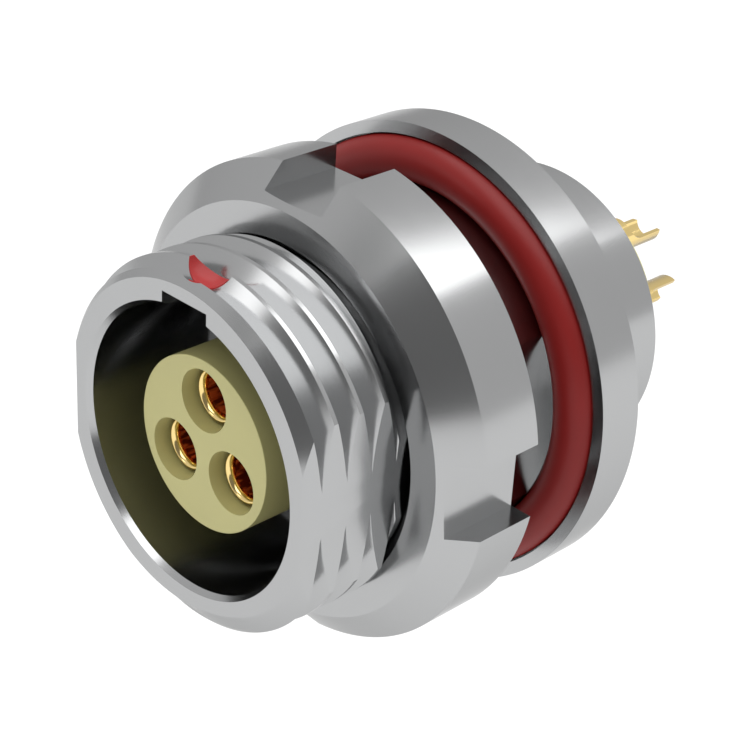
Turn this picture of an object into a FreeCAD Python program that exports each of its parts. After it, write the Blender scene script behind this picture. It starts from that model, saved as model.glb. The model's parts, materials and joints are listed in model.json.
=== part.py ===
# Panel-mounted push-pull circular connector, three contacts, drawn in millimetres.
# The connector's axis is Y: the mouth faces -Y and the solder cups face +Y.
# The origin is the centre of the flange's front face, which bears on the panel, and the key is at +Z.

import FreeCAD, Part
import math
import os
import re

import Sketcher
from FreeCAD import Placement, Rotation, Vector

doc = FreeCAD.newDocument("Connector")

# Driving sizes, in millimetres, degrees or counts
SIZES = [
    # Shell: mouth, threaded barrel, flange and rear body
    ("mouth_length", 10.1, "flange front face to mouth face"),
    ("barrel_radius", 6.0, "over the thread crests, M12"),
    ("barrel_bevel", 0.5, "45 degree bevel at the start of the thread"),
    ("flat_distance", 5.25, "axis to each of the two flats"),
    ("mouth_radius", 4.67, "bore that takes the plug"),
    ("mouth_lip", 0.13, "widening of the bore at its edge"),
    ("mouth_lip_depth", 0.2, "depth of that widening"),
    ("mouth_depth", 6.7, "mouth face to the web"),
    ("key_width", 2.0, "width of the keyway"),
    ("key_height", 5.07, "axis to the flat top of the keyway"),
    ("key_depth", 5.6, "length of the keyway from the mouth face"),
    ("latch_place", 3.3, "mouth face to the front of the groove for the plug's latches"),
    ("latch_width", 1.5, "width of that groove"),
    ("latch_radius", 4.95, "floor of that groove"),
    ("web_thickness", 0.8, "wall that the insulator's shoulder bears on"),
    ("flange_rim", 0.41, "flange outside the seal's groove"),
    ("flange_thickness", 1.72, "front to rear of the flange"),
    ("rear_radius", 5.3, "outside of the rear body"),
    ("rear_length", 6.3, "flange front face to the shell's rear face"),
    ("rear_bevel", 0.2, "bevel round the shell's rear face"),
    ("rear_bore", 4.7, "bore behind the web"),
    # Panel seal
    ("seal_section", 0.75, "radius of the seal's round section"),
    ("seal_facets", 12, "sides that stand for the seal's round section"),
    ("seal_standout", 0.55, "how far the free seal stands out of its groove"),
    ("seal_clearance", 0.02, "free seal to the barrel"),
    ("seal_side_room", 0.05, "free seal to the groove's outer wall"),
    # Ring nut
    ("nut_rear_gap", 3.0, "flange front face to the nut's rear face"),
    ("nut_length", 3.25, "length of the nut"),
    ("nut_overhang", 0.08, "outside of the nut beyond the flange"),
    ("nut_cone_length", 1.02, "length of the nut's front cone"),
    ("nut_cone_height", 1.2, "height of that cone"),
    ("nut_clearance", 0.03, "nut to the thread crests"),
    ("nut_bevel", 0.3, "bevel at both ends of the nut's bore"),
    ("notch_count", 4, "spanner notches"),
    ("notch_width", 2.52, "width of a notch"),
    ("notch_depth", 0.99, "outside of the nut to the floor of a notch"),
    # Insulators and their retaining ring
    ("insert_radius", 2.88, "insulator's core in the mouth"),
    ("insert_recess", 0.8, "mouth face back to the insulator's face"),
    ("insert_bevel", 0.08, "bevel round the insulator's face"),
    ("insert_clearance", 0.05, "insulator's core in the web"),
    ("body_clearance", 0.03, "insulators and retaining ring in the rear bore"),
    ("split_place", 0.6, "flange front face to the joint of the insulators"),
    ("shoulder_length", 2.8, "rear insulator's shoulder"),
    ("neck_radius", 4.1, "rear insulator's neck"),
    ("neck_length", 7.5, "flange front face to the rear insulator's face"),
    ("neck_bevel", 0.15, "bevel round the rear insulator's face"),
    ("lock_length", 1.6, "length of the retaining ring"),
    ("lock_clearance", 0.05, "retaining ring round the neck"),
    ("lock_slot_width", 0.8, "width of the retaining ring's driving slots"),
    ("lock_slot_depth", 0.6, "depth of the retaining ring's driving slots"),
    # Contacts
    ("contact_count", 3, "contacts on their circle"),
    ("contact_circle", 1.515, "radius of the circle of contacts"),
    ("cavity_radius", 1.03, "recess round the front of a contact"),
    ("cavity_depth", 2.0, "depth of that recess"),
    ("contact_clearance", 0.03, "contact in the insulators"),
    ("socket_radius", 0.865, "outside of the contact's socket"),
    ("socket_bore", 0.66, "bore of the socket"),
    ("socket_lead", 0.15, "bevel that leads into the bore"),
    ("socket_recess", 0.5, "insulator's face back to the socket's mouth"),
    ("socket_depth", 4.2, "depth of the socket's bore"),
    ("window_place", 0.7, "socket's mouth back to its side windows"),
    ("window_length", 2.9, "length of the side windows"),
    ("window_width", 0.22, "width of the side windows"),
    ("collar_radius", 1.15, "collar that the insulators hold"),
    ("collar_length", 1.0, "length of the collar"),
    ("cup_radius", 0.61, "outside of the solder cup"),
    ("cup_bore", 0.46, "bore of the solder cup"),
    ("cup_end", 12.7, "flange front face to the end of the cup"),
    ("cup_depth", 4.0, "depth of the cup's bore"),
    ("scoop_length", 1.55, "length of the cup's open part"),
    ("scoop_floor", 0.2, "contact's axis down to the rim of the open part"),
    ("scoop_round", 0.25, "radius of the curve into the open part"),
    # Index mark
    ("mark_place", 1.0, "mouth face to the middle of the mark"),
    ("mark_ball", 0.97, "radius of the ball-shaped hollow inside its enamel"),
    ("mark_depth", 0.72, "thread crests to the floor of that hollow"),
    ("mark_coat", 0.05, "thickness of the enamel"),
    ("mark_rim", 0.36, "floor of the hollow to the rim of the enamel"),
]

# Places that several pieces share, as formulas of those sizes
GROOVE_WALL = "barrel_radius + seal_clearance + 2 * seal_section + seal_side_room"
FLANGE_RADIUS = GROOVE_WALL + " + flange_rim"
WEB_FRONT = "-mouth_length + mouth_depth"
WEB_REAR = WEB_FRONT + " + web_thickness"
SHOULDER_END = "split_place + shoulder_length"

sheet = doc.addObject("Spreadsheet::Sheet", "Sizes")
for row, (alias, value, meaning) in enumerate(SIZES, start=1):
    sheet.set("A%d" % row, meaning)
    sheet.set("B%d" % row, str(value))
    sheet.setAlias("B%d" % row, alias)
doc.recompute()

ALIASES = {alias for alias, value, meaning in SIZES}


def formula(text):
    """Point each size name in the text at its cell."""
    return re.sub(r"[a-z_]+", lambda word: "Sizes." + word.group() if word.group() in ALIASES else word.group(), text)


def value_of(text):
    """Value of a formula written with size names."""
    return float(sheet.evalExpression(formula(text)))


def new_body(label):
    body = doc.addObject("PartDesign::Body", label)
    body.Label = label
    return body


def origin_item(body, role):
    """Plane or axis of the body's own origin."""
    return next(item for item in body.Origin.OriginFeatures if item.Role == role)


def new_sketch(body, name, plane="XY_Plane", offset=None):
    """Sketch on an origin plane, moved along the plane's normal by a formula."""
    sketch = body.newObject("Sketcher::SketchObject", name)
    sketch.AttachmentSupport = [(origin_item(body, plane), "")]
    sketch.MapMode = "FlatFace"
    if offset is not None:
        sketch.setExpression("AttachmentOffset.Base.z", formula(offset))
    return sketch


def pin_point(sketch, line, end, place):
    """Hold one end of a line at a place given by two formulas."""
    for kind, text in zip(("DistanceX", "DistanceY"), place):
        amount = value_of(text)
        index = sketch.addConstraint(Sketcher.Constraint(kind, -1, 1, line, end, amount))
        sketch.setExpression("Constraints[%d]" % index, formula(text))


def outline(sketch, places):
    """Closed outline of straight lines through places, each a pair of formulas."""
    corners = [Vector(value_of(x), value_of(y), 0) for x, y in places]
    first = sketch.GeometryCount
    for corner, following in zip(corners, corners[1:] + corners[:1]):
        sketch.addGeometry(Part.LineSegment(corner, following), False)
    for step, place in enumerate(places):
        before = first + (step - 1) % len(places)
        sketch.addConstraint(Sketcher.Constraint("Coincident", before, 2, first + step, 1))
        pin_point(sketch, first + step, 1, place)


def circle(sketch, place, radius):
    """Circle about a place, with its radius as a formula."""
    centre = Vector(value_of(place[0]), value_of(place[1]), 0)
    ring = sketch.addGeometry(Part.Circle(centre, Vector(0, 0, 1), value_of(radius)), False)
    pin_point(sketch, ring, 3, place)
    index = sketch.addConstraint(Sketcher.Constraint("Radius", ring, value_of(radius)))
    sketch.setExpression("Constraints[%d]" % index, formula(radius))


def turned(body, name, places):
    """Solid of revolution about the connector's axis."""
    sketch = new_sketch(body, name + "_profile")
    outline(sketch, places)
    solid = body.newObject("PartDesign::Revolution", name)
    solid.Profile = sketch
    solid.ReferenceAxis = (sketch, ["V_Axis"])
    solid.Angle = 360
    doc.recompute()
    return solid


def pocket(body, name, sketch, length, both_ways=False):
    """Cut a sketch away by a length, against its normal or to both sides of it."""
    before = body.Shape.Volume
    cut = body.newObject("PartDesign::Pocket", name)
    cut.Profile = sketch
    cut.Midplane = both_ways
    cut.setExpression("Length", formula(length))
    doc.recompute()
    if not body.Shape.Volume < before:
        raise RuntimeError(name + " cuts nothing")
    return cut


def round_the_axis(body, name, features, count):
    """Repeat features round the connector's axis, as often as a size says."""
    pattern = body.newObject("PartDesign::PolarPattern", name)
    pattern.Originals = features
    pattern.Axis = (origin_item(body, "Y_Axis"), [""])
    pattern.Angle = 360
    pattern.setExpression("Occurrences", formula(count))
    body.Tip = pattern
    doc.recompute()


def rectangle(sketch, left, right, bottom, top):
    """Rectangle between four formulas."""
    outline(sketch, [(left, bottom), (right, bottom), (right, top), (left, top)])


def mark_ball(body, kind, name, radius):
    """Ball about the centre of the mark's hollow, added to the body or cut from it."""
    ball = body.newObject("PartDesign::%sSphere" % kind, name)
    ball.AttachmentSupport = [(origin_item(body, "XY_Plane"), "")]
    ball.MapMode = "FlatFace"
    ball.setExpression("Radius", formula(radius))
    ball.setExpression("AttachmentOffset.Base.y", formula("-mouth_length + mark_place"))
    ball.setExpression("AttachmentOffset.Base.z", formula("barrel_radius - mark_depth + mark_ball"))
    doc.recompute()
    return ball


def make_shell():
    """Turned shell: keyed mouth with a latch groove, flatted barrel, grooved flange and rear body."""
    body = new_body("shell")
    groove_floor = "2 * seal_section - seal_standout"
    turned(body, "shell_turning", [
        ("mouth_radius + mouth_lip", "-mouth_length"),
        ("barrel_radius - barrel_bevel", "-mouth_length"),
        ("barrel_radius", "-mouth_length + barrel_bevel"),
        ("barrel_radius", groove_floor),
        (GROOVE_WALL, groove_floor),
        (GROOVE_WALL, "0"),
        (FLANGE_RADIUS, "0"),
        (FLANGE_RADIUS, "flange_thickness"),
        ("rear_radius", "flange_thickness"),
        ("rear_radius", "rear_length - rear_bevel"),
        ("rear_radius - rear_bevel", "rear_length"),
        ("rear_bore", "rear_length"),
        ("rear_bore", WEB_REAR),
        ("insert_radius + insert_clearance", WEB_REAR),
        ("insert_radius + insert_clearance", WEB_FRONT),
        ("mouth_radius", WEB_FRONT),
        ("mouth_radius", "-mouth_length + latch_place + latch_width"),
        ("latch_radius", "-mouth_length + latch_place + latch_width"),
        ("latch_radius", "-mouth_length + latch_place + latch_radius - mouth_radius"),
        ("mouth_radius", "-mouth_length + latch_place"),
        ("mouth_radius", "-mouth_length + mouth_lip_depth"),
    ])

    flats = new_sketch(body, "flat_outline", "XZ_Plane", "mouth_length")
    rectangle(flats, "flat_distance", "2 * barrel_radius", "-barrel_radius", "barrel_radius")
    rectangle(flats, "-2 * barrel_radius", "-flat_distance", "-barrel_radius", "barrel_radius")
    pocket(body, "flats", flats, "mouth_length")

    keyway = new_sketch(body, "keyway_outline", "XZ_Plane", "mouth_length")
    rectangle(keyway, "-key_width / 2", "key_width / 2", "insert_radius + insert_clearance", "key_height")
    pocket(body, "keyway", keyway, "key_depth")

    mark_ball(body, "Subtractive", "mark_hollow", "mark_ball + mark_coat")
    return body


def make_mark():
    """Enamel that lines the floor of the hollow over the key."""
    body = new_body("index_mark")
    mark_ball(body, "Additive", "enamel_back", "mark_ball + mark_coat")
    mark_ball(body, "Subtractive", "enamel_face", "mark_ball")
    above = new_sketch(body, "enamel_rim_outline", "YZ_Plane")
    middle = "-mouth_length + mark_place"
    rim = "barrel_radius - mark_depth + mark_rim"
    rectangle(above, middle + " - 2 * mark_ball", middle + " + 2 * mark_ball", rim, rim + " + 3 * mark_ball")
    pocket(body, "enamel_rim", above, "4 * mark_ball", both_ways=True)
    return body


def make_seal():
    """Panel seal, free in its groove and standing proud of the flange."""
    body = new_body("panel_seal")
    across = "barrel_radius + seal_clearance + seal_section"
    along = "seal_section - seal_standout"
    step = 360 / value_of("seal_facets")
    turned(body, "seal_ring", [
        ("%s + seal_section * cos(%g)" % (across, facet * step), "%s + seal_section * sin(%g)" % (along, facet * step))
        for facet in range(int(value_of("seal_facets")))
    ])
    return body


def make_nut():
    """Round nut with a coned front and spanner notches right along its rim."""
    body = new_body("ring_nut")
    bore = "barrel_radius + nut_clearance"
    outside = FLANGE_RADIUS + " + nut_overhang"
    front = "-nut_rear_gap - nut_length"
    turned(body, "nut_turning", [
        (bore + " + nut_bevel", front),
        (outside + " - nut_cone_height", front),
        (outside, front + " + nut_cone_length"),
        (outside, "-nut_rear_gap"),
        (bore + " + nut_bevel", "-nut_rear_gap"),
        (bore, "-nut_rear_gap - nut_bevel"),
        (bore, front + " + nut_bevel"),
    ])
    notch = new_sketch(body, "notch_outline", "XZ_Plane", "nut_rear_gap + nut_length")
    rectangle(notch, "-notch_width / 2", "notch_width / 2", outside + " - notch_depth", outside + " + notch_width")
    cut = pocket(body, "notch", notch, "nut_length")
    round_the_axis(body, "notches", [cut], "notch_count")
    return body


def bore_for_contacts(body, holes):
    """Round holes on the contacts' circle, each a name, a start, a radius and a length."""
    cuts = []
    for name, start, radius, length in holes:
        sketch = new_sketch(body, name + "_outline", "XZ_Plane", start)
        circle(sketch, ("0", "contact_circle"), radius)
        cuts.append(pocket(body, name, sketch, length))
    round_the_axis(body, "contact_holes", cuts, "contact_count")


def make_front_insulator():
    """Insulator with the core in the mouth and a shoulder behind the web."""
    body = new_body("front_insulator")
    face = "-mouth_length + insert_recess"
    turned(body, "front_turning", [
        ("0", face),
        ("insert_radius - insert_bevel", face),
        ("insert_radius", face + " + insert_bevel"),
        ("insert_radius", WEB_REAR),
        ("rear_bore - body_clearance", WEB_REAR),
        ("rear_bore - body_clearance", "split_place"),
        ("0", "split_place"),
    ])
    bore_for_contacts(body, [
        ("recess", "mouth_length - insert_recess", "cavity_radius", "cavity_depth"),
        ("cavity", "mouth_length - insert_recess", "socket_radius + contact_clearance",
         "mouth_length - insert_recess + split_place"),
        ("collar_seat", "collar_length - split_place", "collar_radius + contact_clearance", "collar_length"),
    ])
    return body


def make_rear_insulator():
    """Insulator that closes the contacts in, with a neck out of the shell's rear."""
    body = new_body("rear_insulator")
    turned(body, "rear_turning", [
        ("0", "split_place"),
        ("rear_bore - body_clearance", "split_place"),
        ("rear_bore - body_clearance", SHOULDER_END),
        ("neck_radius", SHOULDER_END),
        ("neck_radius", "neck_length - neck_bevel"),
        ("neck_radius - neck_bevel", "neck_length"),
        ("0", "neck_length"),
    ])
    bore_for_contacts(body, [
        ("tail_hole", "-split_place", "cup_radius + contact_clearance", "neck_length - split_place"),
    ])
    return body


def make_lock_ring():
    """Retaining ring screwed into the rear bore against the insulator's shoulder."""
    body = new_body("retaining_ring")
    end = SHOULDER_END + " + lock_length"
    turned(body, "lock_turning", [
        ("neck_radius + lock_clearance", SHOULDER_END),
        ("rear_bore - body_clearance", SHOULDER_END),
        ("rear_bore - body_clearance", end),
        ("neck_radius + lock_clearance", end),
    ])
    slots = new_sketch(body, "lock_slot_outline", "XZ_Plane",
                       "-split_place - shoulder_length - lock_length + lock_slot_depth")
    rectangle(slots, "-2 * rear_bore", "2 * rear_bore", "-lock_slot_width / 2", "lock_slot_width / 2")
    pocket(body, "lock_slots", slots, "lock_slot_depth")
    return body


def scoop_shape(sketch):
    """Open part of a solder cup, seen from its side, with a curve where it starts."""
    start = "cup_end - scoop_length"
    beyond = "cup_end + cup_radius"
    above = "2 * cup_radius"
    corners = [
        (start + " + scoop_round", "-scoop_floor"),
        (beyond, "-scoop_floor"),
        (beyond, above),
        (start, above),
        (start, "-scoop_floor + scoop_round"),
    ]
    points = [Vector(value_of(x), value_of(y), 0) for x, y in corners]
    for line, (first, second) in enumerate(zip(points[:-1], points[1:])):
        sketch.addGeometry(Part.LineSegment(first, second), False)
        pin_point(sketch, line, 1, corners[line])
    for line in range(1, len(points) - 1):
        sketch.addConstraint(Sketcher.Constraint("Coincident", line - 1, 2, line, 1))
    wall = len(points) - 2
    pin_point(sketch, wall, 2, corners[-1])
    middle = Vector(points[0].x, points[-1].y, 0)
    round_of = Part.Circle(middle, Vector(0, 0, 1), value_of("scoop_round"))
    arc = sketch.addGeometry(Part.ArcOfCircle(round_of, math.pi, 1.5 * math.pi), False)
    sketch.addConstraint(Sketcher.Constraint("Coincident", wall, 2, arc, 1))
    sketch.addConstraint(Sketcher.Constraint("Coincident", arc, 2, 0, 1))
    sketch.addConstraint(Sketcher.Constraint("Vertical", 0, 1, arc, 3))


def make_contact(number):
    """Closed-entry socket contact with a collar and a scooped solder cup, drawn on its own axis."""
    body = new_body("contact_%d" % number)
    mouth = "-mouth_length + insert_recess + socket_recess"
    collar = "split_place - collar_length"
    turned(body, "contact_turning_%d" % number, [
        ("0", mouth + " + socket_depth"),
        ("socket_bore", mouth + " + socket_depth"),
        ("socket_bore", mouth + " + socket_lead"),
        ("socket_bore + socket_lead", mouth),
        ("socket_radius", mouth),
        ("socket_radius", collar),
        ("collar_radius", collar),
        ("collar_radius", "split_place"),
        ("cup_radius", "split_place"),
        ("cup_radius", "cup_end"),
        ("cup_bore", "cup_end"),
        ("cup_bore", "cup_end - cup_depth"),
        ("0", "cup_end - cup_depth"),
    ])
    windows = new_sketch(body, "window_outline_%d" % number)
    rectangle(windows, "-window_width / 2", "window_width / 2",
              mouth + " + window_place", mouth + " + window_place + window_length")
    pocket(body, "windows_%d" % number, windows, "4 * socket_radius", both_ways=True)
    scoop = new_sketch(body, "scoop_outline_%d" % number, "YZ_Plane")
    scoop_shape(scoop)
    pocket(body, "scoop_%d" % number, scoop, "4 * cup_radius", both_ways=True)
    step = 360 / value_of("contact_count")
    turn = Rotation(Vector(0, 1, 0), (number - 1) * step)
    body.Placement = Placement(turn.multVec(Vector(0, 0, value_of("contact_circle"))), turn)
    return body


parts = [make_shell(), make_mark(), make_seal(), make_nut(), make_front_insulator(), make_rear_insulator(),
         make_lock_ring()]
parts += [make_contact(number + 1) for number in range(int(value_of("contact_count")))]
doc.recompute()

for item in doc.Objects:
    if "Invalid" in item.State or "Error" in item.State:
        raise RuntimeError("%s: %s" % (item.Label, item.State))
for body in parts:
    if body.Shape.isNull() or not body.Shape.isValid() or not body.Shape.Solids:
        raise RuntimeError(body.Label + " has no valid solid")

os.makedirs("parts", exist_ok=True)
for body in parts:
    body.Shape.exportStep("parts/%s.step" % body.Label)
    box = body.Shape.BoundBox
    print("%-16s %8.1f mm3  %d solid  y %.2f to %.2f" % (body.Label, body.Shape.Volume, len(body.Shape.Solids),
                                                      box.YMin, box.YMax))
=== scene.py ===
"""Dress the push-pull circular connector: plated metal, thread, seal, insulators, contacts and stage."""

import json
import math

import bmesh
import bpy
from bpy.props import FloatProperty, FloatVectorProperty, IntProperty, PointerProperty
from mathutils import Matrix, Vector


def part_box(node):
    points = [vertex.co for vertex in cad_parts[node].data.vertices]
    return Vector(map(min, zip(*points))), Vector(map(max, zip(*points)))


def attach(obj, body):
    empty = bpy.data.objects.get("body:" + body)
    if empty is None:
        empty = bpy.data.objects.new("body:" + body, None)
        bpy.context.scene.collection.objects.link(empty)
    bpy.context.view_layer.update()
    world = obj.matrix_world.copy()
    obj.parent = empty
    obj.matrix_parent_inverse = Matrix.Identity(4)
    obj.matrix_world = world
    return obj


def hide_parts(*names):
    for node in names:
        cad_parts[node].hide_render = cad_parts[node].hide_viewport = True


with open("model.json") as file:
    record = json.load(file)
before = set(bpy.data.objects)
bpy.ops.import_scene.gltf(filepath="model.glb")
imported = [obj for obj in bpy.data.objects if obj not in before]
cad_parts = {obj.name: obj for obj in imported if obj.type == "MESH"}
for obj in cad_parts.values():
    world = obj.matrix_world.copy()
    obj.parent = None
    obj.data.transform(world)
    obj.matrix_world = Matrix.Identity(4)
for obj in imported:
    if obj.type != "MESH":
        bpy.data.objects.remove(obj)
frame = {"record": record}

bl_info = {
    "name": "Circular connector looks",
    "version": (1, 0, 0),
    "blender": (4, 5, 0),
    "location": "View3D > Sidebar > Connector",
    "description": "Builds the visible pieces and materials of a panel-mounted circular connector",
    "category": "Object",
}

MM = 0.001
AXIS = Vector((0, 1, 0))
# Gap between two pieces that sit in each other, and how far a cutter or a stub goes past the surface
GAP = 0.05 * MM
PAST = MM
# Sides of the small round pieces, and the angle from which an edge shows as sharp
SMALL_TURNS = 96
SHARP = math.radians(28)
# Distance at which points merge, and the radius below which a point is on the axis
MERGE = 1e-7
ON_AXIS = 1e-9
# Colour sockets of a Mix node
MIX_FIRST = 6
MIX_SECOND = 7
MIX_RESULT = 2


def mount(name):
    """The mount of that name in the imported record."""
    return next(item for item in frame["record"]["mounts"] if item["name"] == name)


# Sizes that the frame already holds
SHELL_LOW, SHELL_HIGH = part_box("shell")
NUT_LOW, NUT_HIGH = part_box("ring_nut")
SEAL_LOW, SEAL_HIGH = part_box("panel_seal")
FRONT_LOW, FRONT_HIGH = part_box("front_insulator")
REAR_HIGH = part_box("rear_insulator")[1]
LOCK_LOW, LOCK_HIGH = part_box("retaining_ring")
CONTACT_LOW, CONTACT_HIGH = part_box("contact_1")
MOUTH_Y = SHELL_LOW.y
BARREL_RADIUS = mount("panel_barrel")["dims"]["r_mm"] * MM
MOUTH_RADIUS = mount("plug_mouth")["dims"]["r_mm"] * MM
SOCKET_BORE = mount("socket_1")["dims"]["r_mm"] * MM
CUP_BORE = mount("solder_cup_1")["dims"]["r_mm"] * MM
CUP_DEPTH = mount("solder_cup_1")["dims"]["length_mm"] * MM
NOTCH_FLOOR = mount("nut_notches")["dims"]["r_mm"] * MM
CONTACT_CIRCLE = mount("socket_1")["pos_m"][2]


def length(name, default, description):
    """Length in metres that a user may change."""
    return FloatProperty(name=name, description=description, default=default, unit="LENGTH",
                         precision=6, min=0)


def colour(name, default, description):
    """Base colour that a user may change."""
    return FloatVectorProperty(name=name, description=description, default=default, subtype="COLOR", size=3,
                               min=0, max=1)


class ConnectorSizes(bpy.types.PropertyGroup):
    """Sizes of the visible detail that the solids leave plain."""
    turns: IntProperty(name="Facets per turn", description="Sides that stand for a round surface",
                       default=192, min=48, max=384)
    edge: length("Edge break", 0.03 * MM, "Bevel on the sharp edges of the turned metal")
    thread_pitch: length("Thread pitch", 1.0 * MM, "Advance of the thread in one turn")
    thread_root: length("Thread root radius", 5.3 * MM, "Axis to the bottom of the thread")
    thread_crest: length("Thread crest width", 0.15 * MM, "Flat left on top of the thread")
    thread_start: length("Thread start", 0.136 * MM, "Mouth face to the rear edge of a crest over the key")
    relief_radius: length("Relief radius", 5.43 * MM, "Axis to the barrel under the nut")
    relief_room: length("Relief room", 0.03 * MM, "Ends of the nut to the ends of the relief")
    barrel_bevel: length("Barrel bevel", 0.5 * MM, "Bevel at the start of the thread")
    mouth_lip: length("Mouth lip", 0.13 * MM, "Widening of the mouth at its edge")
    mouth_lip_depth: length("Mouth lip depth", 0.2 * MM, "Depth of that widening")
    flat_distance: length("Flat distance", 5.25 * MM, "Axis to each flat of the barrel")
    key_width: length("Keyway width", 2.0 * MM, "Width of the keyway")
    key_height: length("Keyway height", 5.07 * MM, "Axis to the top of the keyway")
    key_depth: length("Keyway depth", 5.6 * MM, "Length of the keyway")
    latch_place: length("Latch groove place", 3.95 * MM, "Mouth face to the latch groove")
    latch_width: length("Latch groove width", 1.5 * MM, "Width of the latch groove")
    latch_radius: length("Latch groove radius", 4.95 * MM, "Axis to the floor of the latch groove")
    groove_depth: length("Seal groove depth", 0.95 * MM, "Flange front face to the floor of the groove")
    rear_radius: length("Rear body radius", 5.2 * MM, "Outside of the rear body")
    rear_bore: length("Rear bore radius", 4.7 * MM, "Bore behind the web")
    rear_bevel: length("Rear bevel", 0.14 * MM, "Bevel round the rear face")
    mouth_depth: length("Mouth depth", 6.7 * MM, "Mouth face to the web")
    web_rear: length("Web place", 7.5 * MM, "Mouth face to the rear of the web")
    flange: length("Flange thickness", 1.72 * MM, "Thickness of the flange")
    mark_radius: length("Index mark radius", 0.97 * MM, "Radius of the ball that the index hollow is part of")
    mark_place: length("Index mark place", 1.0 * MM, "Mouth face to the middle of the hollow")
    mark_height: length("Index mark height", 6.25 * MM, "Axis to the centre of that ball")
    mark_reach: length("Enamel reach", 0.8 * MM, "Middle of the hollow to the end of its enamel")
    mark_coat: length("Enamel thickness", 0.04 * MM, "Thickness of the enamel in the hollow")
    nut_face: length("Nut face radius", 6.86 * MM, "Outside of the nut's front face")
    nut_cone: length("Nut cone length", 1.02 * MM, "Length of the nut's front cone")
    nut_clearance: length("Nut clearance", 0.03 * MM, "Nut's bore to the barrel under it")
    nut_bevel: length("Nut bore bevel", 0.38 * MM, "Bevel at the ends of the nut's bore")
    notch_width: length("Notch width", 2.52 * MM, "Width of a spanner notch")
    insert_radius: length("Insulator radius", 2.88 * MM, "Outside of the insulator in the mouth")
    cavity_radius: length("Recess radius", 1.03 * MM, "Recess round each contact's mouth")
    cavity_depth: length("Recess depth", 2.0 * MM, "Depth of that recess")
    split_place: length("Insulator joint", 0.6 * MM, "Flange front face to the joint of the insulators")
    shoulder: length("Shoulder length", 2.8 * MM, "Length of the rear insulator's shoulder")
    neck_radius: length("Neck radius", 4.1 * MM, "Outside of the rear insulator's neck")
    socket_radius: length("Socket radius", 0.865 * MM, "Outside of a contact's socket")
    socket_lead: length("Socket lead-in", 0.17 * MM, "Rounded lead into a socket's bore")
    socket_depth: length("Socket depth", 4.2 * MM, "Depth of a socket's bore")
    collar_radius: length("Collar radius", 1.15 * MM, "Collar of a contact")
    collar_length: length("Collar length", 1.0 * MM, "Length of that collar")
    cup_radius: length("Cup radius", 0.64 * MM, "Outside of a solder cup")
    cup_end: length("Cup end", 12.05 * MM, "Flange front face to the end of a solder cup")
    cup_tip: length("Cup tip", 0.08 * MM, "Rounding of a cup's end")
    scoop_length: length("Scoop length", 1.75 * MM, "Length of a cup's open part")
    scoop_floor: length("Scoop floor", 0.03 * MM, "Contact's axis down to the rim of the open part")
    scoop_round: length("Scoop curve", 0.65 * MM, "Radius of the curve into the open part")
    window_place: length("Window place", 0.7 * MM, "Socket's mouth back to its side windows")
    window_length: length("Window length", 2.9 * MM, "Length of the side windows")
    window_width: length("Window width", 0.22 * MM, "Width of the side windows")


class ConnectorColours(bpy.types.PropertyGroup):
    """Colours of the finishes, of the painted shade and reflection inside the bores, and of the floor."""
    nickel: colour("Nickel plate", (0.448, 0.452, 0.455), "Polished plate on the shell and the nut")
    # Painted shade: a darker nickel that stands for the shade at the bottom of the mouth
    painted_mouth_shade: colour("Nickel in the mouth", (0.12, 0.12, 0.125), "Duller plate at the bottom of the mouth")
    gold: colour("Gold plate", (0.92, 0.7, 0.3), "Plate on the contacts")
    # Painted reflection: the red that gold gives when it mirrors itself inside the sockets
    bore: colour("Gold in the bores", (1.0, 0.13, 0.03), "Plate in the sockets, which mirrors itself")
    seal: colour("Seal rubber", (0.22, 0.012, 0.011), "Rubber of the panel seal")
    plastic: colour("Insulator plastic", (0.52, 0.485, 0.205), "Plastic of the insulators")
    enamel: colour("Index enamel", (0.31, 0.022, 0.022), "Enamel of the index mark")
    floor: colour("Floor", (0.8, 0.8, 0.8), "Floor under the connector")


def sizes():
    """Sizes that the pieces are built to."""
    return bpy.context.scene.connector_sizes


def colours():
    """Colours that the materials are built from."""
    return bpy.context.scene.connector_colours


def finished(name, bm):
    """Close the bmesh into an object with its normals outward and its edges sharp where they turn."""
    bmesh.ops.remove_doubles(bm, verts=bm.verts, dist=MERGE)
    bmesh.ops.recalc_face_normals(bm, faces=bm.faces)
    mesh = bpy.data.meshes.new(name)
    bm.to_mesh(mesh)
    bm.free()
    for face in mesh.polygons:
        face.use_smooth = True
    mesh.set_sharp_from_angle(angle=SHARP)
    piece = bpy.data.objects.new(name, mesh)
    bpy.context.scene.collection.objects.link(piece)
    return piece


def eased(profile, amount):
    """Break the corners of a closed profile of (radius, y) points by a small bevel."""
    points = [Vector(point) for point in profile]
    result = []
    for index, corner in enumerate(points):
        before = points[index - 1] - corner
        after = points[(index + 1) % len(points)] - corner
        short = min(before.length, after.length) < 2.5 * amount
        if corner.x < ON_AXIS or short or before.angle(after) > math.radians(170):
            result.append(corner)
            continue
        result.append(corner + before.normalized() * amount)
        result.append(corner + after.normalized() * amount)
    return result


def turned(name, profile, edge=0.0, centre=Vector(), steps=None):
    """Turn a closed profile of (radius, y) points into a solid round an axis along Y."""
    bm = bmesh.new()
    points = eased(profile, edge) if edge else [Vector(point) for point in profile]
    verts = [bm.verts.new((0, y, radius)) for radius, y in points]
    edges = [bm.edges.new((vert, verts[(index + 1) % len(verts)])) for index, vert in enumerate(verts)]
    on_axis = [item for item in edges if max(vert.co.z for vert in item.verts) < ON_AXIS]
    for item in on_axis:
        edges.remove(item)
        bm.edges.remove(item)
    bmesh.ops.spin(bm, geom=verts + edges, cent=(0, 0, 0), axis=AXIS, dvec=(0, 0, 0), angle=math.tau,
                   steps=steps or sizes().turns, use_merge=True, use_duplicate=False)
    bmesh.ops.remove_doubles(bm, verts=bm.verts, dist=MERGE / 10)
    bmesh.ops.translate(bm, verts=bm.verts, vec=centre)
    return finished(name, bm)


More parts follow.
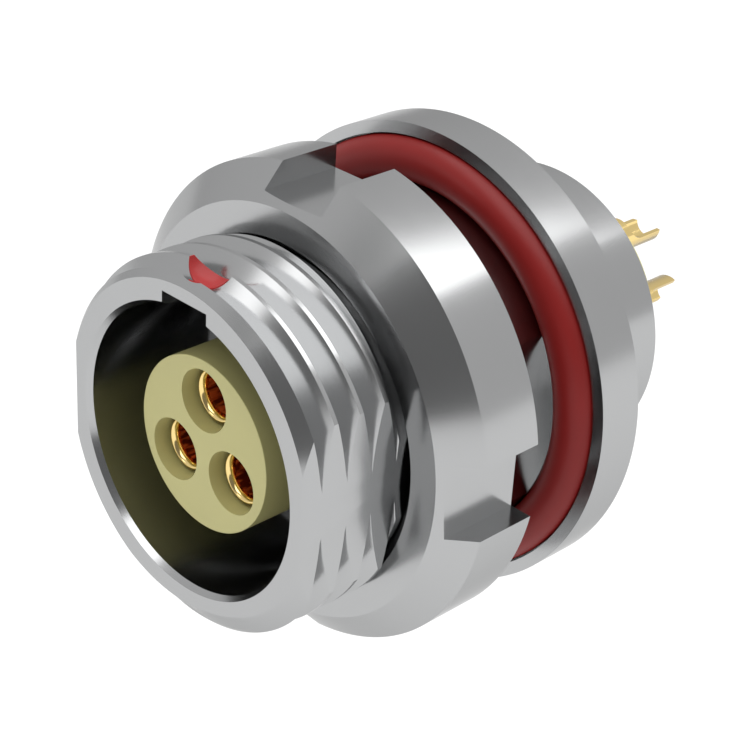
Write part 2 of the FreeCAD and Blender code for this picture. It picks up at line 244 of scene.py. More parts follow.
def block(name, low, high):
    """Rectangular cutter between two corners."""
    bm = bmesh.new()
    middle = (Vector(low) + Vector(high)) / 2
    spread = Vector(high) - Vector(low)
    bmesh.ops.create_cube(bm, size=1, matrix=Matrix.Translation(middle) @ Matrix.Diagonal((*spread, 1)))
    return finished(name, bm)


def applied(piece):
    """Turn a piece's modifiers into its mesh."""
    graph = bpy.context.evaluated_depsgraph_get()
    graph.update()
    mesh = bpy.data.meshes.new_from_object(piece.evaluated_get(graph))
    piece.modifiers.clear()
    old = piece.data
    piece.data = mesh
    mesh.name = old.name
    bpy.data.meshes.remove(old)
    return piece


def combine(target, tool, operation):
    """Cut, join or intersect two closed pieces and keep the first."""
    step = target.modifiers.new("step", "BOOLEAN")
    step.object = tool
    step.operation = operation
    step.solver = "MANIFOLD"
    applied(target)
    bpy.data.objects.remove(tool)
    return target


def sharpened(piece):
    """Merge what the cuts left double, and mark the edges that turn as sharp."""
    bm = bmesh.new()
    bm.from_mesh(piece.data)
    bmesh.ops.remove_doubles(bm, verts=bm.verts, dist=2 * MERGE)
    bmesh.ops.dissolve_degenerate(bm, edges=bm.edges, dist=MERGE)
    bm.to_mesh(piece.data)
    bm.free()
    for face in piece.data.polygons:
        face.use_smooth = True
    piece.data.set_sharp_from_angle(angle=SHARP)
    return piece


def dress(piece, body, slot, material, *nodes):
    """Give a finished piece its material, its body and the nodes that it stands for."""
    piece.data.materials.clear()
    piece.data.materials.append(material)
    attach(piece, body)
    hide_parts(*nodes)
    return piece


def new_material(name):
    """Empty node material and its shader."""
    material = bpy.data.materials.new(name)
    material.use_nodes = True
    return material, material.node_tree.nodes["Principled BSDF"]


def add(tree, kind, **settings):
    """New node with the given settings."""
    node = tree.nodes.new(kind)
    for name, value in settings.items():
        setattr(node, name, value)
    return node


def noise(tree, coordinates, scale, detail=2.0):
    """Noise between 0 and 1, with a scale in spots per metre."""
    node = add(tree, "ShaderNodeTexNoise")
    node.inputs["Scale"].default_value = scale
    node.inputs["Detail"].default_value = detail
    tree.links.new(coordinates, node.inputs["Vector"])
    return node.outputs["Fac"]


def ranged(tree, value, low, high):
    """Bring a 0 to 1 value between two others."""
    node = add(tree, "ShaderNodeMapRange")
    node.inputs["To Min"].default_value = low
    node.inputs["To Max"].default_value = high
    tree.links.new(value, node.inputs["Value"])
    return node.outputs["Result"]


def bumped(tree, shader, height, strength, distance):
    """Let a 0 to 1 height show as relief of that depth."""
    node = add(tree, "ShaderNodeBump")
    node.inputs["Strength"].default_value = strength
    node.inputs["Distance"].default_value = distance
    tree.links.new(height, node.inputs["Height"])
    tree.links.new(node.outputs["Normal"], shader.inputs["Normal"])


def shaded(tree, fac, base, low, high, start=0.0, stop=1.0):
    """Colour from low times the base, up to the start of the factor, to high times it, from the stop."""
    ramp = add(tree, "ShaderNodeValToRGB")
    for point, place, share in zip(ramp.color_ramp.elements, (start, stop), (low, high)):
        point.position = place
        point.color = (*[min(1, share * channel) for channel in base], 1)
    tree.links.new(fac, ramp.inputs["Fac"])
    return ramp.outputs["Color"]


def tinted(tree, shader, fac, base, spread):
    """Vary the base colour a little round its value."""
    tree.links.new(shaded(tree, fac, base, 1 - spread, 1 + spread), shader.inputs["Base Color"])


def turning_lines(tree, coordinates, scale):
    """Fine rings left by the lathe, round the connector's axis and along it."""
    mapping = add(tree, "ShaderNodeMapping")
    mapping.inputs["Scale"].default_value = (scale * 0.02, scale, scale * 0.02)
    tree.links.new(coordinates, mapping.inputs["Vector"])
    return noise(tree, mapping.outputs["Vector"], 1.0, 3.0)


def plated_metal(name, base, roughness, ring_scale):
    """Polished plate over a turned surface: soft clouds, fine rings and a hint of grain."""
    material, shader = new_material(name)
    tree = material.node_tree
    place = add(tree, "ShaderNodeTexCoord").outputs["Object"]
    clouds = noise(tree, place, 420, 3.0)
    rings = turning_lines(tree, place, ring_scale)
    shader.inputs["Metallic"].default_value = 1.0
    shader.inputs["Specular Tint"].default_value = (0.65, 0.65, 0.65, 1)
    tinted(tree, shader, clouds, base, 0.015)
    tree.links.new(ranged(tree, clouds, roughness * 0.85, roughness * 1.15), shader.inputs["Roughness"])
    bumped(tree, shader, rings, 0.05, 0.002 * MM)
    return material


def compared(tree, value, operation, limit):
    """1 where the comparison with the limit holds, and 0 elsewhere."""
    node = add(tree, "ShaderNodeMath", operation=operation)
    node.inputs[1].default_value = limit
    tree.links.new(value, node.inputs[0])
    return node.outputs[0]


def both(tree, first, second):
    """1 where both values are 1."""
    node = add(tree, "ShaderNodeMath", operation="MULTIPLY")
    tree.links.new(first, node.inputs[0])
    tree.links.new(second, node.inputs[1])
    return node.outputs[0]


def blended(tree, shader, fac):
    """Socket for another base colour, which shows where the factor is 1."""
    plain = shader.inputs["Base Color"].links[0].from_socket
    blend = add(tree, "ShaderNodeMix", data_type="RGBA")
    tree.links.new(fac, blend.inputs["Factor"])
    tree.links.new(plain, blend.inputs[MIX_FIRST])
    tree.links.new(blend.outputs[MIX_RESULT], shader.inputs["Base Color"])
    return blend.inputs[MIX_SECOND]


def nickel_plate():
    """Nickel plate, with painted shade at the bottom of the mouth, where a darker colour stands in for the
    shade there.
    """
    material = plated_metal("polished_nickel", colours().nickel, roughness=0.19, ring_scale=26000)
    tree = material.node_tree
    place = add(tree, "ShaderNodeTexCoord").outputs["Object"]
    flat = add(tree, "ShaderNodeVectorMath", operation="MULTIPLY")
    flat.inputs[1].default_value = (1, 0, 1)
    tree.links.new(place, flat.inputs[0])
    away = add(tree, "ShaderNodeVectorMath", operation="LENGTH")
    tree.links.new(flat.outputs[0], away.inputs[0])
    parts = add(tree, "ShaderNodeSeparateXYZ")
    tree.links.new(place, parts.inputs[0])
    size = sizes()
    start = MOUTH_Y + size.latch_place + size.latch_width
    end = MOUTH_Y + size.web_rear - 2 * GAP
    # Painted shade on the mouth's bore and web, behind the latch groove
    near = compared(tree, away.outputs["Value"], "LESS_THAN", size.key_height + GAP)
    behind = compared(tree, parts.outputs["Y"], "GREATER_THAN", start)
    ahead = compared(tree, parts.outputs["Y"], "LESS_THAN", end)
    bottom = both(tree, near, both(tree, behind, ahead))
    blended(tree, tree.nodes["Principled BSDF"], bottom).default_value = (*colours().painted_mouth_shade, 1)
    return material


def gold_plate():
    """Gold plate, with painted reflection on the faces marked as bore: redder, streaked with painted
    highlights along the axis, and less metallic there.
    """
    material = plated_metal("polished_gold", colours().gold, roughness=0.13, ring_scale=30000)
    tree = material.node_tree
    shader = tree.nodes["Principled BSDF"]
    inside = add(tree, "ShaderNodeAttribute", attribute_name="bore").outputs["Fac"]
    place = add(tree, "ShaderNodeTexCoord").outputs["Object"]
    drawn_out = add(tree, "ShaderNodeMapping")
    drawn_out.inputs["Scale"].default_value = (1, 0.25, 1)
    tree.links.new(place, drawn_out.inputs["Vector"])
    reflection_streaks = noise(tree, drawn_out.outputs["Vector"], 5500)
    # Painted reflection: dark and bright streaks of the red bore colour stand for the gold mirroring itself
    red = shaded(tree, reflection_streaks, colours().bore, low=0.2, high=1.6, start=0.44, stop=0.6)
    tree.links.new(red, blended(tree, shader, inside))
    tree.links.new(ranged(tree, inside, 1.0, 0.6), shader.inputs["Metallic"])
    return material


def mark_bore(contact, centre, end):
    """Mark the wall inside a socket for its painted reflection, without the floor."""
    marks = contact.data.attributes.new("bore", "FLOAT", "FACE")
    for face in contact.data.polygons:
        away = face.center - centre
        wall = abs(face.normal.y) < 0.9 and math.hypot(away.x, away.z) < 1.01 * SOCKET_BORE
        marks.data[face.index].value = float(wall and face.center.y < end)


def seal_rubber():
    """Smooth moulded silicone with a soft sheen and fine mottling."""
    material, shader = new_material("moulded_rubber")
    tree = material.node_tree
    place = add(tree, "ShaderNodeTexCoord").outputs["Object"]
    mottle = noise(tree, place, 900, 4.0)
    shader.inputs["Specular IOR Level"].default_value = 0.25
    tinted(tree, shader, mottle, colours().seal, 0.06)
    tree.links.new(ranged(tree, mottle, 0.34, 0.44), shader.inputs["Roughness"])
    bumped(tree, shader, noise(tree, place, 6000, 3.0), 0.06, 0.01 * MM)
    return material


def insulator_plastic():
    """Cream engineering plastic with a fine moulded grain."""
    material, shader = new_material("moulded_plastic")
    tree = material.node_tree
    place = add(tree, "ShaderNodeTexCoord").outputs["Object"]
    mottle = noise(tree, place, 700, 4.0)
    tinted(tree, shader, mottle, colours().plastic, 0.04)
    tree.links.new(ranged(tree, mottle, 0.42, 0.52), shader.inputs["Roughness"])
    bumped(tree, shader, noise(tree, place, 9000, 3.0), 0.08, 0.008 * MM)
    return material


def index_enamel():
    """Red enamel with a slight orange-peel surface."""
    material, shader = new_material("red_coat")
    tree = material.node_tree
    place = add(tree, "ShaderNodeTexCoord").outputs["Object"]
    peel = noise(tree, place, 2500, 2.0)
    shader.inputs["Specular IOR Level"].default_value = 0.25
    tinted(tree, shader, peel, colours().enamel, 0.03)
    tree.links.new(ranged(tree, peel, 0.3, 0.38), shader.inputs["Roughness"])
    bumped(tree, shader, peel, 0.08, 0.02 * MM)
    return material


def relief_cutter(size):
    """Ring that turns the barrel down where the nut sits on it."""
    outside = BARREL_RADIUS + PAST
    return turned("relief_cutter", [
        (size.relief_radius, NUT_LOW.y - size.relief_room),
        (outside, NUT_LOW.y - size.relief_room),
        (outside, NUT_HIGH.y + size.relief_room),
        (size.relief_radius, NUT_HIGH.y + size.relief_room),
    ])


def thread_cutter(size):
    """Helical groove with 60 degree flanks, from ahead of the mouth to inside the nut."""
    per_turn = size.turns
    half_top = (size.thread_pitch - size.thread_crest) / 2
    slope = math.tan(math.radians(60 / 2))
    outside = BARREL_RADIUS + 2 * GAP
    half_out = half_top + (outside - BARREL_RADIUS) * slope
    half_root = half_top - (BARREL_RADIUS - size.thread_root) * slope
    threaded = (NUT_LOW.y + NUT_HIGH.y) / 2 - MOUTH_Y
    turns = math.ceil(threaded / size.thread_pitch) + 2
    middle = MOUTH_Y + size.thread_start + half_top - 2 * size.thread_pitch
    corners = [
        (outside, -half_out),
        (size.thread_root, -half_root),
        (size.thread_root, half_root),
        (outside, half_out),
    ]
    bm = bmesh.new()
    verts = [bm.verts.new((0, middle + along, radius)) for radius, along in corners]
    for index in range(4):
        bm.edges.new((verts[index], verts[(index + 1) % 4]))
    section = finished("groove_section", bm)
    sweep = section.modifiers.new("sweep", "SCREW")
    sweep.axis = "Y"
    sweep.screw_offset = size.thread_pitch
    sweep.iterations = turns
    sweep.steps = per_turn
    sweep.render_steps = per_turn
    swept = applied(section)
    bm = bmesh.new()
    bm.from_mesh(swept.data)
    bpy.data.objects.remove(swept)
    bmesh.ops.holes_fill(bm, edges=[item for item in bm.edges if item.is_boundary], sides=0)
    return finished("thread_cutter", bm)


def threaded_barrel(size):
    """Solid barrel with its bevel, helical thread and two flats."""
    barrel = turned("barrel", [
        (0, MOUTH_Y),
        (BARREL_RADIUS - size.barrel_bevel, MOUTH_Y),
        (BARREL_RADIUS, MOUTH_Y + size.barrel_bevel),
        (BARREL_RADIUS, 0),
        (0, 0),
    ])
    combine(barrel, thread_cutter(size), "DIFFERENCE")
    combine(barrel, relief_cutter(size), "DIFFERENCE")
    reach = 2 * BARREL_RADIUS
    for side in (-1, 1):
        near = side * size.flat_distance
        far = side * reach
        low = (min(near, far), MOUTH_Y - PAST, -reach)
        high = (max(near, far), PAST, reach)
        combine(barrel, block("flat_cutter", low, high), "DIFFERENCE")
    return barrel


def flange_and_rear(size):
    """Flange with the seal's groove, and the rear body, on a stub that fuses with the barrel."""
    stub = size.thread_root - 0.3 * MM
    seal_wall = SEAL_HIGH.x + GAP
    return turned("flange", [
        (0, -PAST),
        (stub, -PAST),
        (stub, 0),
        (BARREL_RADIUS, 0),
        (BARREL_RADIUS, size.groove_depth),
        (seal_wall, size.groove_depth),
        (seal_wall, 0),
        (SHELL_HIGH.x, 0),
        (SHELL_HIGH.x, size.flange),
        (size.rear_radius, size.flange),
        (size.rear_radius, SHELL_HIGH.y - size.rear_bevel),
        (size.rear_radius - size.rear_bevel, SHELL_HIGH.y),
        (0, SHELL_HIGH.y),
    ])


def shell_bore(size):
    """Inside of the shell: mouth with its latch groove, web hole and rear bore."""
    web_front = MOUTH_Y + size.mouth_depth
    web_rear = MOUTH_Y + size.web_rear
    hole = size.insert_radius + GAP
    latch = MOUTH_Y + size.latch_place
    return turned("bore", [
        (0, MOUTH_Y - PAST),
        (MOUTH_RADIUS + size.mouth_lip, MOUTH_Y - PAST),
        (MOUTH_RADIUS + size.mouth_lip, MOUTH_Y),
        (MOUTH_RADIUS, MOUTH_Y + size.mouth_lip_depth),
        (MOUTH_RADIUS, latch),
        (size.latch_radius, latch + size.latch_radius - MOUTH_RADIUS),
        (size.latch_radius, latch + size.latch_width),
        (MOUTH_RADIUS, latch + size.latch_width),
        (MOUTH_RADIUS, web_front),
        (hole, web_front),
        (hole, web_rear),
        (size.rear_bore, web_rear),
        (size.rear_bore, SHELL_HIGH.y + PAST),
        (0, SHELL_HIGH.y + PAST),
    ])


def index_ball(size, radius, name):
    """Ball that the index hollow is part of."""
    bm = bmesh.new()
    place = Vector((0, MOUTH_Y + size.mark_place, size.mark_height))
    bmesh.ops.create_uvsphere(bm, u_segments=96, v_segments=64, radius=radius,
                              matrix=Matrix.Translation(place))
    return finished(name, bm)


def make_shell(size):
    """Shell in one piece: threaded barrel, flange, rear body, bores, keyway and index hollow."""
    shell = threaded_barrel(size)
    combine(shell, flange_and_rear(size), "UNION")
    combine(shell, shell_bore(size), "DIFFERENCE")
    key_low = (-size.key_width / 2, MOUTH_Y - PAST, size.insert_radius)
    key_high = (size.key_width / 2, MOUTH_Y + size.key_depth, size.key_height)
    combine(shell, block("key_cutter", key_low, key_high), "DIFFERENCE")
    combine(shell, index_ball(size, size.mark_radius, "hollow"), "DIFFERENCE")
    shell.name = "dressed_shell"
    return sharpened(shell)


def make_mark(size):
    """Thin red coat on the floor of the hollow, cut by the same thread."""
    mark = threaded_barrel(size)
    combine(mark, index_ball(size, size.mark_radius, "coat_outside"), "INTERSECT")
    inner = index_ball(size, size.mark_radius - size.mark_coat, "coat_inside")
    combine(mark, inner, "DIFFERENCE")
    middle = MOUTH_Y + size.mark_place
    low = (-1.3 * size.mark_reach, MOUTH_Y, 0)
    high = (size.mark_reach, middle + size.mark_reach, size.mark_height)
    combine(mark, block("coat_limit", low, high), "INTERSECT")
    # The enamel leaves the front corner at -X bare
    bare_from = middle - 0.52 * MM
    low = (-2 * size.mark_reach, MOUTH_Y - PAST, 0)
    high = (-GAP, bare_from, size.mark_height)
    combine(mark, block("coat_end", low, high), "DIFFERENCE")
    mark.name = "dressed_index_mark"
    return sharpened(mark)


def make_nut(size):
    """Round nut with a coned front, a plain bore and four spanner notches."""
    bore = size.relief_radius + size.nut_clearance
    front, rear = NUT_LOW.y, NUT_HIGH.y
    outside = NUT_HIGH.x
    nut = turned("dressed_nut", [
        (bore + size.nut_bevel, front),
        (size.nut_face, front),
        (outside, front + size.nut_cone),
        (outside, rear),
        (bore + size.nut_bevel, rear),
        (bore, rear - size.nut_bevel),
        (bore, front + size.nut_bevel),
    ])
    half = size.notch_width / 2
    for quarter in range(4):
        cutter = block("notch_cutter", (-half, front - PAST, NOTCH_FLOOR), (half, rear + PAST, 2 * outside))
        cutter.data.transform(Matrix.Rotation(quarter * math.pi / 2, 4, "Y"))
        combine(nut, cutter, "DIFFERENCE")
    return sharpened(nut)


def make_seal(size):
    """Ring of round section that lies in the flange's groove."""
    section = (SEAL_HIGH.y - SEAL_LOW.y) / 2
    centre = Vector((0, (SEAL_HIGH.y + SEAL_LOW.y) / 2, SEAL_HIGH.x - section))
    bm = bmesh.new()
    matrix = Matrix.Translation(centre) @ Matrix.Rotation(math.pi / 2, 4, "Y")
    bmesh.ops.create_circle(bm, cap_ends=False, segments=64, radius=section, matrix=matrix)
    bmesh.ops.spin(bm, geom=bm.verts[:] + bm.edges[:], cent=(0, 0, 0), axis=AXIS, dvec=(0, 0, 0),
                   angle=math.tau, steps=size.turns, use_merge=True, use_duplicate=False)
    return finished("dressed_seal", bm)


def contact_places():
    """Number, turn about the connector's axis and centre of each contact."""
    for number in range(3):
        turn = Matrix.Rotation(number * math.tau / 3, 4, "Y")
        yield number + 1, turn, turn @ Vector((0, 0, CONTACT_CIRCLE))


def drilled(piece, radius, start, end):
    """Drill the three contact holes through a piece between two places."""
    section = [(0, start), (radius, start), (radius, end), (0, end)]
    for _, _, centre in contact_places():
        combine(piece, turned("hole", section, centre=centre, steps=SMALL_TURNS), "DIFFERENCE")
    return piece


def make_front_insulator(size):
    """Insulator in the mouth, with a recess round each contact and a shoulder behind the web."""
    face = FRONT_LOW.y
    web_rear = MOUTH_Y + size.web_rear
    core = turned("dressed_front_insulator", [
        (0, face),
        (size.insert_radius, face),
        (size.insert_radius, web_rear),
        (FRONT_HIGH.x, web_rear),
        (FRONT_HIGH.x, FRONT_HIGH.y),
        (0, FRONT_HIGH.y),
    ], edge=0.5 * size.edge)
    collar = size.split_place - size.collar_length
    drilled(core, size.cavity_radius, face - PAST, face + size.cavity_depth)
    drilled(core, size.socket_radius + size.edge, face, FRONT_HIGH.y + PAST)
    drilled(core, size.collar_radius + size.edge, collar, FRONT_HIGH.y + PAST)
    return sharpened(core)


def make_rear_insulator(size):
    """Insulator that closes the rear and lets the solder cups through."""
    shoulder_end = size.split_place + size.shoulder
    neck = turned("dressed_rear_insulator", [
        (0, size.split_place),
        (REAR_HIGH.x, size.split_place),
        (REAR_HIGH.x, shoulder_end),
        (size.neck_radius, shoulder_end),
        (size.neck_radius, REAR_HIGH.y),
        (0, REAR_HIGH.y),
    ], edge=3 * size.edge)
    drilled(neck, size.cup_radius + size.edge, size.split_place - PAST, REAR_HIGH.y + PAST)
    return sharpened(neck)


def make_lock_ring(size):
    """Ring behind the rear insulator's shoulder, with a slot across it for a tool."""
    inner = size.neck_radius + GAP
    ring = turned("dressed_retaining_ring", [
        (inner, LOCK_LOW.y),
        (LOCK_HIGH.x, LOCK_LOW.y),
        (LOCK_HIGH.x, LOCK_HIGH.y),
        (inner, LOCK_HIGH.y),
    ], edge=size.edge)
    slot_floor = LOCK_HIGH.y - 0.6 * MM
    half_slot = 0.4 * MM
    reach = 2 * LOCK_HIGH.x
    slot = block("slot_cutter", (-reach, slot_floor, -half_slot), (reach, LOCK_HIGH.y + PAST, half_slot))
    return sharpened(combine(ring, slot, "DIFFERENCE"))


def rounded_lip(radius, y, lead):
    """Points of the rounded lead from a bore out to the face round it, twice as long as it is wide."""
    steps = 6
    points = []
    for step in range(steps + 1):
        angle = math.pi / 2 * step / steps
        points.append((radius + lead * (1 - math.cos(angle)), y + 2 * lead * (1 - math.sin(angle))))
    return points


def scoop_cutter(size, reach):
    """Block that opens the end of a solder cup, with a curve where the open part begins."""
    start = size.cup_end - size.scoop_length
    low = (-reach, start, -size.scoop_floor)
    scoop = block("scoop_cutter", low, (reach, size.cup_end + PAST, reach))
    bm = bmesh.new()
    bm.from_mesh(scoop.data)
    at_start = {vert for vert in bm.verts if abs(vert.co.y - start) < MERGE}
    on_floor = {vert for vert in bm.verts if abs(vert.co.z + size.scoop_floor) < MERGE}
    corner = [item for item in bm.edges if set(item.verts) <= at_start & on_floor]
    bmesh.ops.bevel(bm, geom=corner, offset=size.scoop_round, offset_type="OFFSET", segments=10,
                    profile=0.5, affect="EDGES", material=-1)
    bm.to_mesh(scoop.data)
    bm.free()
    return scoop


def make_contact(size, number, turn, centre):
    """Contact turned in one piece: socket with side windows, collar and open solder cup."""
    mouth = CONTACT_LOW.y
    floor = mouth + size.socket_depth
    collar = size.split_place - size.collar_length
    bevel = 0.03 * MM
    end = size.cup_end
    tip = size.cup_tip
    cup_floor = CONTACT_HIGH.y - CUP_DEPTH
    profile = [
        (0, floor),
        (SOCKET_BORE, floor),
        *rounded_lip(SOCKET_BORE, mouth, size.socket_lead),
        (size.socket_radius - bevel, mouth),
        (size.socket_radius, mouth + bevel),
        (size.socket_radius, collar),
        (size.collar_radius, collar),
        (size.collar_radius, size.split_place),
        (size.cup_radius, size.split_place),
        (size.cup_radius, end - tip),
        (size.cup_radius - 0.3 * tip, end - 0.3 * tip),
        (CUP_BORE, end),
        (CUP_BORE, cup_floor),
        (0, cup_floor),
    ]
    contact = turned("dressed_contact_%d" % number, profile, steps=SMALL_TURNS)
    reach = 2 * size.cup_radius
    combine(contact, scoop_cutter(size, reach), "DIFFERENCE")
    window = mouth + size.window_place
    half = size.window_width / 2
    sides = block("window_cutter", (-half, window, -reach), (half, window + size.window_length, reach))
    combine(contact, sides, "DIFFERENCE")
    contact.data.transform(Matrix.Translation(centre) @ turn)
    sharpened(contact)
    mark_bore(contact, centre, floor + size.edge)
    return contact


class ConnectorStep:
    """What every operator of this file shares."""
    bl_options = {"REGISTER", "UNDO"}


class OBJECT_OT_connector_shell(ConnectorStep, bpy.types.Operator):
    """Build the threaded shell and the index mark in its hollow"""
    bl_idname = "object.connector_shell"
    bl_label = "Shell and Index Mark"

    def execute(self, context):
        dress(make_shell(sizes()), "shell", "nickel_plate", nickel_plate(), "shell")
        dress(make_mark(sizes()), "shell", "red_enamel", index_enamel(), "index_mark")
        return {"FINISHED"}


class OBJECT_OT_connector_nut(ConnectorStep, bpy.types.Operator):
    """Build the notched ring nut"""
    bl_idname = "object.connector_nut"
    bl_label = "Ring Nut"

    def execute(self, context):
        dress(make_nut(sizes()), "nut", "nickel_plate", bpy.data.materials["polished_nickel"], "ring_nut")
        return {"FINISHED"}


class OBJECT_OT_connector_seal(ConnectorStep, bpy.types.Operator):
    """Build the panel seal"""
    bl_idname = "object.connector_seal"
    bl_label = "Panel Seal"

    def execute(self, context):
        dress(make_seal(sizes()), "shell", "seal_rubber", seal_rubber(), "panel_seal")
        return {"FINISHED"}


class OBJECT_OT_connector_insulators(ConnectorStep, bpy.types.Operator):
    """Build the two insulators and the ring that holds them"""
    bl_idname = "object.connector_insulators"
    bl_label = "Insulators and Retaining Ring"

    def execute(self, context):
        plastic = insulator_plastic()
        dress(make_front_insulator(sizes()), "shell", "cream_plastic", plastic, "front_insulator")
        dress(make_rear_insulator(sizes()), "shell", "cream_plastic", plastic, "rear_insulator")
        metal = bpy.data.materials["polished_nickel"]
        dress(make_lock_ring(sizes()), "shell", "nickel_plate", metal, "retaining_ring")
        return {"FINISHED"}


class OBJECT_OT_connector_contacts(ConnectorStep, bpy.types.Operator):
    """Build the three socket contacts with their solder cups"""
    bl_idname = "object.connector_contacts"
    bl_label = "Contacts"

    def execute(self, context):
        gold = gold_plate()
        for number, turn, centre in contact_places():
            contact = make_contact(sizes(), number, turn, centre)
            dress(contact, "shell", "gold_plate", gold, "contact_%d" % number)
        return {"FINISHED"}


# Camera of the photo, in the connector's frame
CAMERA_PLACE = Vector((0.038456, -0.042015, 0.029997))
CAMERA_RIGHT = Vector((0.699403, 0.712635, 0.054671))
CAMERA_UP = Vector((-0.374268, 0.300003, 0.877451))
CAMERA_BACK = Vector((0.608902, -0.634152, 0.476539))
CAMERA_LENS = 92.42
FLOOR_HEIGHT = -0.04
# Grey that the camera sees on the floor and the glow that brings it up to white
FLOOR_SEEN = 0.45
FLOOR_LIFT = 0.45


def seen_directly(tree):
    """1 for rays of the camera, of mirrors and of glass, and 0 for those that only light."""
    path = add(tree, "ShaderNodeLightPath")
    mirrored = add(tree, "ShaderNodeMath", operation="MAXIMUM")
    tree.links.new(path.outputs["Is Glossy Ray"], mirrored.inputs[0])
    tree.links.new(path.outputs["Is Transmission Ray"], mirrored.inputs[1])
    seen = add(tree, "ShaderNodeMath", operation="MAXIMUM")
    tree.links.new(path.outputs["Is Camera Ray"], seen.inputs[0])
    tree.links.new(mirrored.outputs[0], seen.inputs[1])
    return seen.outputs[0]


def show_white(material, base, seen_grey, lift):
    """Let a floor show as white to the camera and in metal, and keep its shadow."""
    tree = material.node_tree
    shader = tree.nodes["Principled BSDF"]
    shader.inputs["Roughness"].default_value = 0.9
    shader.inputs["Specular IOR Level"].default_value = 0.0
    seen = seen_directly(tree)
    glow = add(tree, "ShaderNodeMath", operation="MULTIPLY")
    glow.inputs[1].default_value = lift
    tree.links.new(seen, glow.inputs[0])
    paint = add(tree, "ShaderNodeMix", data_type="RGBA")
    tree.links.new(seen, paint.inputs["Factor"])
    paint.inputs[MIX_FIRST].default_value = (*base, 1)
    paint.inputs[MIX_SECOND].default_value = (seen_grey, seen_grey, seen_grey, 1)
    tree.links.new(paint.outputs[MIX_RESULT], shader.inputs["Base Color"])
    shader.inputs["Emission Color"].default_value = (1, 1, 1, 1)
    tree.links.new(glow.outputs[0], shader.inputs["Emission Strength"])


def make_floor():
    """Wide floor that faces up."""
    bm = bmesh.new()
    bmesh.ops.create_grid(bm, x_segments=1, y_segments=1, size=3.0,
                          matrix=Matrix.Translation((0, 0, FLOOR_HEIGHT)))
    floor = finished("floor", bm)
    if floor.data.polygons[0].normal.z < 0:
        floor.data.flip_normals()
    material = new_material("floor")[0]
    show_white(material, colours().floor, FLOOR_SEEN, FLOOR_LIFT)
    floor.data.materials.append(material)


def direction(azimuth, elevation):
    """Unit vector: azimuth 0 looks out of the mouth and 90 to +X."""
    across = math.cos(math.radians(elevation))
    return Vector((across * math.sin(math.radians(azimuth)), -across * math.cos(math.radians(azimuth)),
                   math.sin(math.radians(elevation))))


def lobe(tree, toward, centre, inner, outer, inside, outside):
    """Value inside a cone of directions, easing to another value outside it, with angles in degrees."""
    dot = add(tree, "ShaderNodeVectorMath", operation="DOT_PRODUCT")
    dot.inputs[1].default_value = direction(*centre)
    tree.links.new(toward, dot.inputs[0])
    ease = add(tree, "ShaderNodeMapRange", interpolation_type="SMOOTHSTEP")
    ease.inputs["From Min"].default_value = math.cos(math.radians(outer))
    ease.inputs["From Max"].default_value = math.cos(math.radians(inner))
    ease.inputs["To Min"].default_value = outside
    ease.inputs["To Max"].default_value = inside
    tree.links.new(dot.outputs["Value"], ease.inputs["Value"])
    return ease.outputs["Result"]


def make_world():
    """Pale room with one dark side and a bright card ahead, which polished metal mirrors."""
    world = bpy.data.worlds.new("room")
    world.use_nodes = True
    bpy.context.scene.world = world
    tree = world.node_tree
    background = tree.nodes["Background"]
    toward = add(tree, "ShaderNodeTexCoord").outputs["Generated"]
    room = lobe(tree, toward, centre=(35, 12), inner=25, outer=70, inside=0.2, outside=0.7)
    card = lobe(tree, toward, centre=(-24, 22), inner=3, outer=11, inside=2.6, outside=0)
    brighter = add(tree, "ShaderNodeMath", operation="MAXIMUM")
    tree.links.new(room, brighter.inputs[0])
    tree.links.new(card, brighter.inputs[1])
    path = add(tree, "ShaderNodeLightPath")
    white = add(tree, "ShaderNodeMix")
    tree.links.new(path.outputs["Is Camera Ray"], white.inputs["Factor"])
    tree.links.new(brighter.outputs[0], white.inputs["A"])
    white.inputs["B"].default_value = 1.0
    tree.links.new(white.outputs["Result"], background.inputs["Strength"])
    background.inputs["Color"].default_value = (1, 1, 1, 1)


def softbox(name, middle, height, turn, width, depth, radiance):
    """Rectangular light above the connector that faces straight down, turned in degrees."""
    data = bpy.data.lights.new(name, "AREA")
    data.shape = "RECTANGLE"
    data.size = width
    data.size_y = depth
    data.energy = radiance * math.pi * width * depth
    lamp = bpy.data.objects.new(name, data)
    lamp.matrix_world = Matrix.Translation((*middle, height)) @ Matrix.Rotation(math.radians(turn), 4, "Z")
    bpy.context.scene.collection.objects.link(lamp)
    return lamp


def make_lights():
    """Wide softbox overhead, turned off the connector's axis."""
    softbox("softbox", middle=(0.289, 0.084), height=1.0, turn=37, width=1.65, depth=1.51, radiance=2.3)


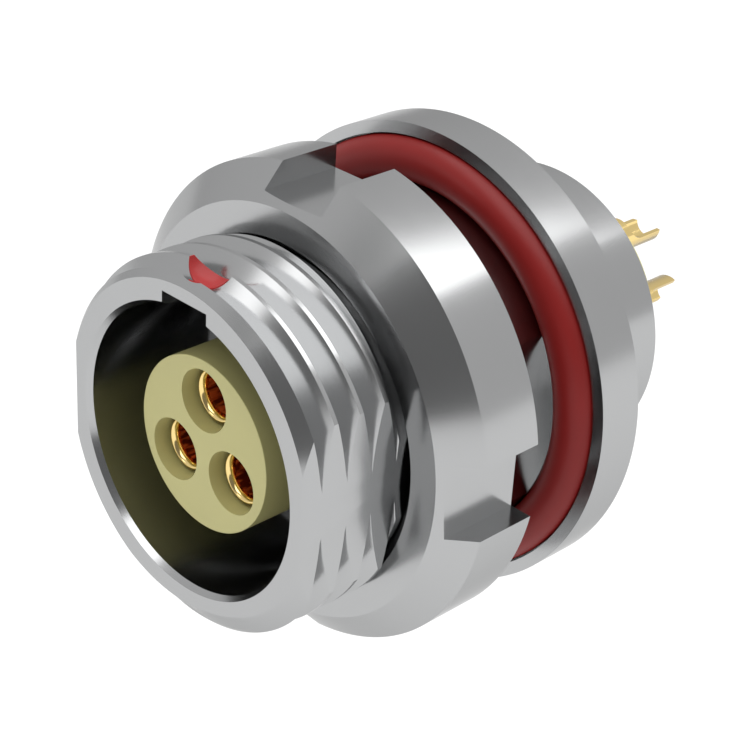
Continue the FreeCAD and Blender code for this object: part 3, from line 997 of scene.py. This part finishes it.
def make_camera():
    """Camera at the photo's place and angle."""
    data = bpy.data.cameras.new("camera")
    data.sensor_width = 36
    data.lens = CAMERA_LENS
    data.clip_start = 0.001
    data.clip_end = 10
    camera = bpy.data.objects.new("camera", data)
    rotation = Matrix((CAMERA_RIGHT, CAMERA_UP, CAMERA_BACK)).transposed().to_4x4()
    camera.matrix_world = Matrix.Translation(CAMERA_PLACE) @ rotation
    bpy.context.scene.collection.objects.link(camera)
    bpy.context.scene.camera = camera


class SCENE_OT_connector_stage(ConnectorStep, bpy.types.Operator):
    """Make the floor, the room, the light and the camera"""
    bl_idname = "scene.connector_stage"
    bl_label = "Stage"

    def execute(self, context):
        context.scene.view_settings.view_transform = "Standard"
        make_floor()
        make_world()
        make_lights()
        make_camera()
        return {"FINISHED"}


STEPS = (
    OBJECT_OT_connector_shell,
    OBJECT_OT_connector_nut,
    OBJECT_OT_connector_seal,
    OBJECT_OT_connector_insulators,
    OBJECT_OT_connector_contacts,
    SCENE_OT_connector_stage,
)


class VIEW3D_PT_connector(bpy.types.Panel):
    """Steps, sizes and colours of the connector"""
    bl_label = "Connector"
    bl_idname = "VIEW3D_PT_connector"
    bl_space_type = "VIEW_3D"
    bl_region_type = "UI"
    bl_category = "Connector"

    def draw(self, context):
        for step in STEPS:
            self.layout.operator(step.bl_idname)
        for group in (context.scene.connector_sizes, context.scene.connector_colours):
            for name in group.bl_rna.properties.keys():
                if name not in ("rna_type", "name"):
                    self.layout.prop(group, name)


CLASSES = (ConnectorSizes, ConnectorColours, *STEPS, VIEW3D_PT_connector)


def register():
    """Add the classes and the two property groups."""
    for item in CLASSES:
        bpy.utils.register_class(item)
    bpy.types.Scene.connector_sizes = PointerProperty(type=ConnectorSizes)
    bpy.types.Scene.connector_colours = PointerProperty(type=ConnectorColours)


def unregister():
    """Take them away again."""
    del bpy.types.Scene.connector_colours
    del bpy.types.Scene.connector_sizes
    for item in reversed(CLASSES):
        bpy.utils.unregister_class(item)


def main():
    """Build everything."""
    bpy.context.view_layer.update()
    register()
    for step in STEPS:
        group, name = step.bl_idname.split(".")
        getattr(getattr(bpy.ops, group), name)()


if __name__ == "__main__":
    main()
